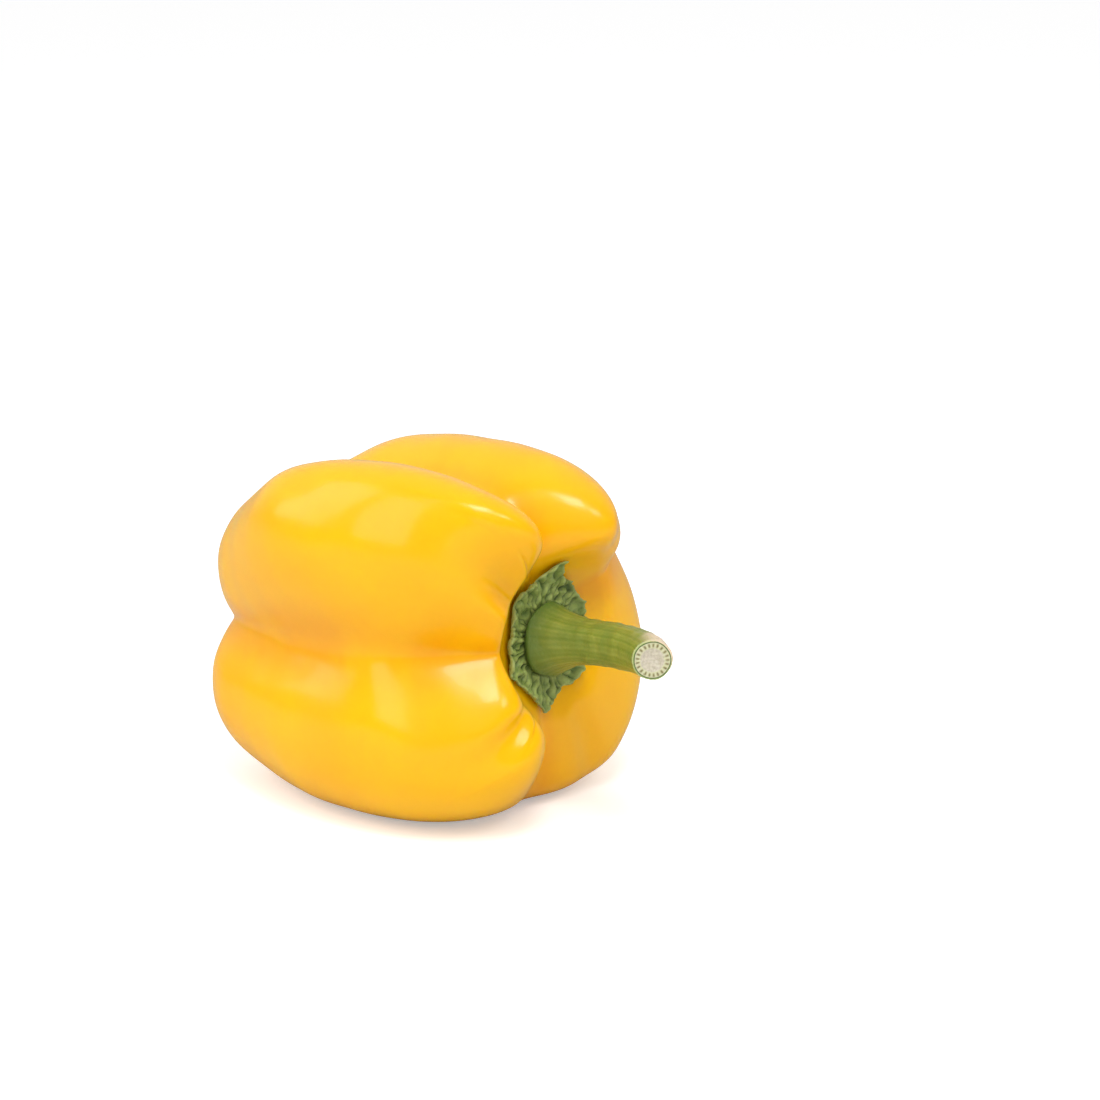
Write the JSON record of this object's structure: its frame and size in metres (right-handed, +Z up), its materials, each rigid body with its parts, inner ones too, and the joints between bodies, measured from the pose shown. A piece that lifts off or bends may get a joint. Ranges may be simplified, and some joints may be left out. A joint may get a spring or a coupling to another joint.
{
  "type": "bell pepper",
  "caption": "Whole yellow bell pepper lying on its side: a glossy lobed fruit with deep creases, a ruffled green calyx and a thick bent stem with a fresh cut end",
  "frame": {"origin": "centre of the whole outline seen from above, on the ground that the pepper lies on", "axes": "+X along the fruit towards the stem, +Y towards the far side, +Z up; the pepper lies on its side with the stem end tipped slightly up"},
  "size_m": [0.127, 0.0854, 0.0848],
  "materials": {
    "skin": "waxy gloss, warm yellow shading to orange in the creases",
    "calyx": "satin, crinkled leaf green",
    "stem": "satin, light green with fine lengthwise lines; pale pith at the cut end"
  },
  "bodies": {
    "root": {"fruit": "skin", "calyx": "calyx", "stem": "stem"}
  },
  "joints": []
}
